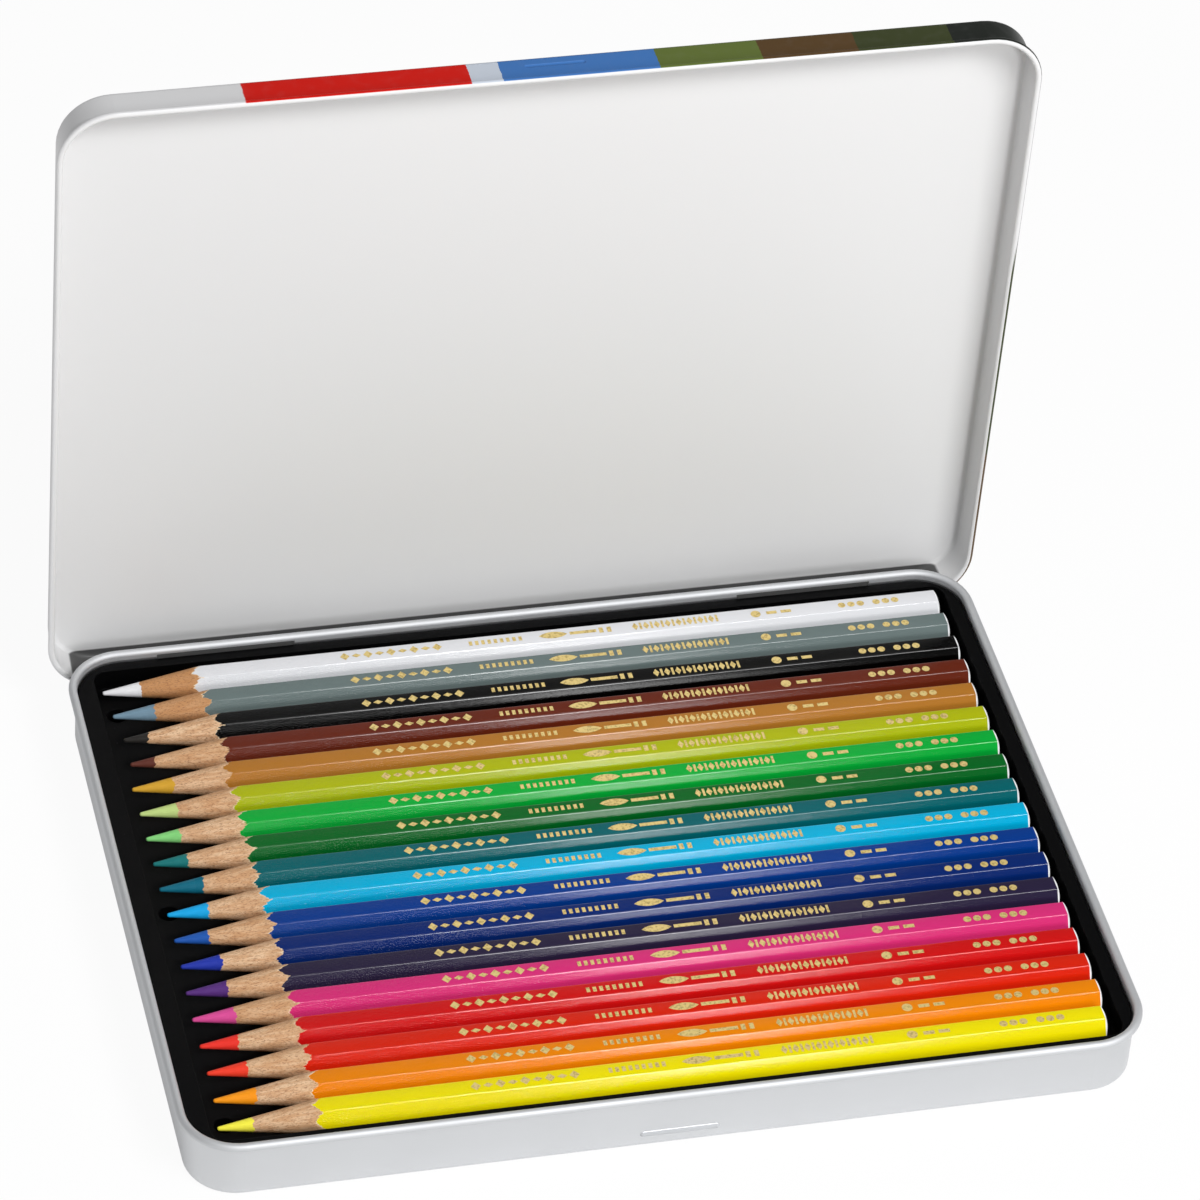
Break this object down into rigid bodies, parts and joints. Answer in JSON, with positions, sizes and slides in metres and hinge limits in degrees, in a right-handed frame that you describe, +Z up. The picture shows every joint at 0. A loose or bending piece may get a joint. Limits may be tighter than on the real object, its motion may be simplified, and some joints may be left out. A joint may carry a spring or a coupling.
{
  "type": "colored pencil tin",
  "caption": "Flat hinged tinplate box, lid open, with a black formed tray that holds a row of sharpened hexagonal colored pencils side by side.",
  "frame": {"origin": "centre of the underside of the base tin", "axes": "+X from the sharpened tips to the blunt ends, +Y towards the hinge, +Z up"},
  "size_m": [0.1946, 0.1511, 0.1526],
  "materials": {
    "tinplate": "satin",
    "tray_plastic": "satin",
    "cedar": "matte",
    "lacquer_white": "gloss",
    "lead_white": "waxy",
    "lacquer_slate": "gloss",
    "lead_slate": "waxy",
    "lacquer_black": "gloss",
    "lead_black": "waxy",
    "lacquer_brown": "gloss",
    "lead_brown": "waxy",
    "lacquer_ochre": "gloss",
    "lead_ochre": "waxy",
    "lacquer_olive": "gloss",
    "lead_olive": "waxy",
    "lacquer_green": "gloss",
    "lead_green": "waxy",
    "lacquer_dark_green": "gloss",
    "lead_dark_green": "waxy",
    "lacquer_teal": "gloss",
    "lead_teal": "waxy",
    "lacquer_cyan": "gloss",
    "lead_cyan": "waxy",
    "lacquer_blue": "gloss",
    "lead_blue": "waxy",
    "lacquer_ultramarine": "gloss",
    "lead_ultramarine": "waxy",
    "lacquer_violet": "gloss",
    "lead_violet": "waxy",
    "lacquer_magenta": "gloss",
    "lead_magenta": "waxy",
    "lacquer_red": "gloss",
    "lead_red": "waxy",
    "lacquer_scarlet": "gloss",
    "lead_scarlet": "waxy",
    "lacquer_orange": "gloss",
    "lead_orange": "waxy",
    "lacquer_yellow": "gloss",
    "lead_yellow": "waxy"
  },
  "bodies": {
    "base": {"base_tin": "tinplate", "tray": "tray_plastic"},
    "lid": {"lid": "tinplate"},
    "pencil_01": {"pencil_01_lacquer": "lacquer_white", "pencil_01_casing": "cedar", "pencil_01_lead": "lead_white"},
    "pencil_02": {"pencil_02_lacquer": "lacquer_slate", "pencil_02_casing": "cedar", "pencil_02_lead": "lead_slate"},
    "pencil_03": {"pencil_03_lacquer": "lacquer_black", "pencil_03_casing": "cedar", "pencil_03_lead": "lead_black"},
    "pencil_04": {"pencil_04_lacquer": "lacquer_brown", "pencil_04_casing": "cedar", "pencil_04_lead": "lead_brown"},
    "pencil_05": {"pencil_05_lacquer": "lacquer_ochre", "pencil_05_casing": "cedar", "pencil_05_lead": "lead_ochre"},
    "pencil_06": {"pencil_06_lacquer": "lacquer_olive", "pencil_06_casing": "cedar", "pencil_06_lead": "lead_olive"},
    "pencil_07": {"pencil_07_lacquer": "lacquer_green", "pencil_07_casing": "cedar", "pencil_07_lead": "lead_green"},
    "pencil_08": {"pencil_08_lacquer": "lacquer_dark_green", "pencil_08_casing": "cedar", "pencil_08_lead": "lead_dark_green"},
    "pencil_09": {"pencil_09_lacquer": "lacquer_teal", "pencil_09_casing": "cedar", "pencil_09_lead": "lead_teal"},
    "pencil_10": {"pencil_10_lacquer": "lacquer_cyan", "pencil_10_casing": "cedar", "pencil_10_lead": "lead_cyan"},
    "pencil_11": {"pencil_11_lacquer": "lacquer_blue", "pencil_11_casing": "cedar", "pencil_11_lead": "lead_blue"},
    "pencil_12": {"pencil_12_lacquer": "lacquer_ultramarine", "pencil_12_casing": "cedar", "pencil_12_lead": "lead_ultramarine"},
    "pencil_13": {"pencil_13_lacquer": "lacquer_violet", "pencil_13_casing": "cedar", "pencil_13_lead": "lead_violet"},
    "pencil_14": {"pencil_14_lacquer": "lacquer_magenta", "pencil_14_casing": "cedar", "pencil_14_lead": "lead_magenta"},
    "pencil_15": {"pencil_15_lacquer": "lacquer_red", "pencil_15_casing": "cedar", "pencil_15_lead": "lead_red"},
    "pencil_16": {"pencil_16_lacquer": "lacquer_scarlet", "pencil_16_casing": "cedar", "pencil_16_lead": "lead_scarlet"},
    "pencil_17": {"pencil_17_lacquer": "lacquer_orange", "pencil_17_casing": "cedar", "pencil_17_lead": "lead_orange"},
    "pencil_18": {"pencil_18_lacquer": "lacquer_yellow", "pencil_18_casing": "cedar", "pencil_18_lead": "lead_yellow"}
  },
  "joints": [
    {"name": "lid_hinge", "type": "hinge", "parent": "base", "child": "lid", "pos_m": [0, 0.0718, 0.00718], "axis": [-1, 0, 0], "range_deg": [-88, 0]},
    {"name": "pencil_01_lift", "type": "slide", "parent": "base", "child": "pencil_01", "axis": [0, 0, 1], "range_m": [0, 0.035]},
    {"name": "pencil_02_lift", "type": "slide", "parent": "base", "child": "pencil_02", "axis": [0, 0, 1], "range_m": [0, 0.035]},
    {"name": "pencil_03_lift", "type": "slide", "parent": "base", "child": "pencil_03", "axis": [0, 0, 1], "range_m": [0, 0.035]},
    {"name": "pencil_04_lift", "type": "slide", "parent": "base", "child": "pencil_04", "axis": [0, 0, 1], "range_m": [0, 0.035]},
    {"name": "pencil_05_lift", "type": "slide", "parent": "base", "child": "pencil_05", "axis": [0, 0, 1], "range_m": [0, 0.035]},
    {"name": "pencil_06_lift", "type": "slide", "parent": "base", "child": "pencil_06", "axis": [0, 0, 1], "range_m": [0, 0.035]},
    {"name": "pencil_07_lift", "type": "slide", "parent": "base", "child": "pencil_07", "axis": [0, 0, 1], "range_m": [0, 0.035]},
    {"name": "pencil_08_lift", "type": "slide", "parent": "base", "child": "pencil_08", "axis": [0, 0, 1], "range_m": [0, 0.035]},
    {"name": "pencil_09_lift", "type": "slide", "parent": "base", "child": "pencil_09", "axis": [0, 0, 1], "range_m": [0, 0.035]},
    {"name": "pencil_10_lift", "type": "slide", "parent": "base", "child": "pencil_10", "axis": [0, 0, 1], "range_m": [0, 0.035]},
    {"name": "pencil_11_lift", "type": "slide", "parent": "base", "child": "pencil_11", "axis": [0, 0, 1], "range_m": [0, 0.035]},
    {"name": "pencil_12_lift", "type": "slide", "parent": "base", "child": "pencil_12", "axis": [0, 0, 1], "range_m": [0, 0.035]},
    {"name": "pencil_13_lift", "type": "slide", "parent": "base", "child": "pencil_13", "axis": [0, 0, 1], "range_m": [0, 0.035]},
    {"name": "pencil_14_lift", "type": "slide", "parent": "base", "child": "pencil_14", "axis": [0, 0, 1], "range_m": [0, 0.035]},
    {"name": "pencil_15_lift", "type": "slide", "parent": "base", "child": "pencil_15", "axis": [0, 0, 1], "range_m": [0, 0.035]},
    {"name": "pencil_16_lift", "type": "slide", "parent": "base", "child": "pencil_16", "axis": [0, 0, 1], "range_m": [0, 0.035]},
    {"name": "pencil_17_lift", "type": "slide", "parent": "base", "child": "pencil_17", "axis": [0, 0, 1], "range_m": [0, 0.035]},
    {"name": "pencil_18_lift", "type": "slide", "parent": "base", "child": "pencil_18", "axis": [0, 0, 1], "range_m": [0, 0.035]}
  ]
}
